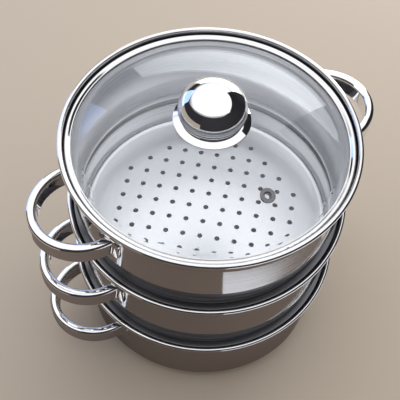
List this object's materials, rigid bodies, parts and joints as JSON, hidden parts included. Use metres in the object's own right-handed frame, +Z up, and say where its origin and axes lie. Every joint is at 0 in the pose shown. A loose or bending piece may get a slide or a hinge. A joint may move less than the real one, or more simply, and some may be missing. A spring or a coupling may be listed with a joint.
{
  "type": "steamer pot",
  "caption": "Stacking stainless steel steamer pot with two pierced steaming tiers, loop handles and a glass lid with a ball knob.",
  "frame": {"origin": "middle of the pot's underside, on the surface it stands on", "axes": "+Z up along the common axis, +X through the right handles, +Y square to the handles"},
  "size_m": [0.3032, 0.2346, 0.2693],
  "materials": {
    "polished_steel": "polished outside, satin inside",
    "mirror_steel": "mirror polished",
    "brushed_steel": "circular brushed",
    "plain_steel": "plain",
    "aluminium": "bare",
    "lid_glass": "clear tempered glass",
    "silicone": "translucent grey silicone"
  },
  "bodies": {
    "pot": {"pot_body": "polished_steel", "pot_base_core": "aluminium", "pot_base_cap": "brushed_steel", "pot_handle_right": "mirror_steel", "pot_handle_left": "mirror_steel", "pot_handle_feet": "mirror_steel"},
    "lower_tier": {"lower_tier_body": "polished_steel", "lower_tier_handle_right": "mirror_steel", "lower_tier_handle_left": "mirror_steel", "lower_tier_handle_feet": "mirror_steel"},
    "upper_tier": {"upper_tier_body": "polished_steel", "upper_tier_handle_right": "mirror_steel", "upper_tier_handle_left": "mirror_steel", "upper_tier_handle_feet": "mirror_steel"},
    "lid": {"lid_glass": "lid_glass", "lid_rim": "polished_steel", "vent_eyelet": "polished_steel", "knob_base": "mirror_steel", "knob_ball": "mirror_steel", "knob_stem": "plain_steel", "knob_screw": "plain_steel", "knob_washer": "plain_steel", "knob_seal_above": "silicone", "knob_seal_below": "silicone"}
  },
  "joints": [
    {"name": "lower_tier_lift", "type": "slide", "parent": "pot", "child": "lower_tier", "axis": [0, 0, 1], "range_m": [0, 0.12]},
    {"name": "upper_tier_lift", "type": "slide", "parent": "lower_tier", "child": "upper_tier", "axis": [0, 0, 1], "range_m": [0, 0.12]},
    {"name": "lid_lift", "type": "slide", "parent": "upper_tier", "child": "lid", "axis": [0, 0, 1], "range_m": [0, 0.12]}
  ]
}
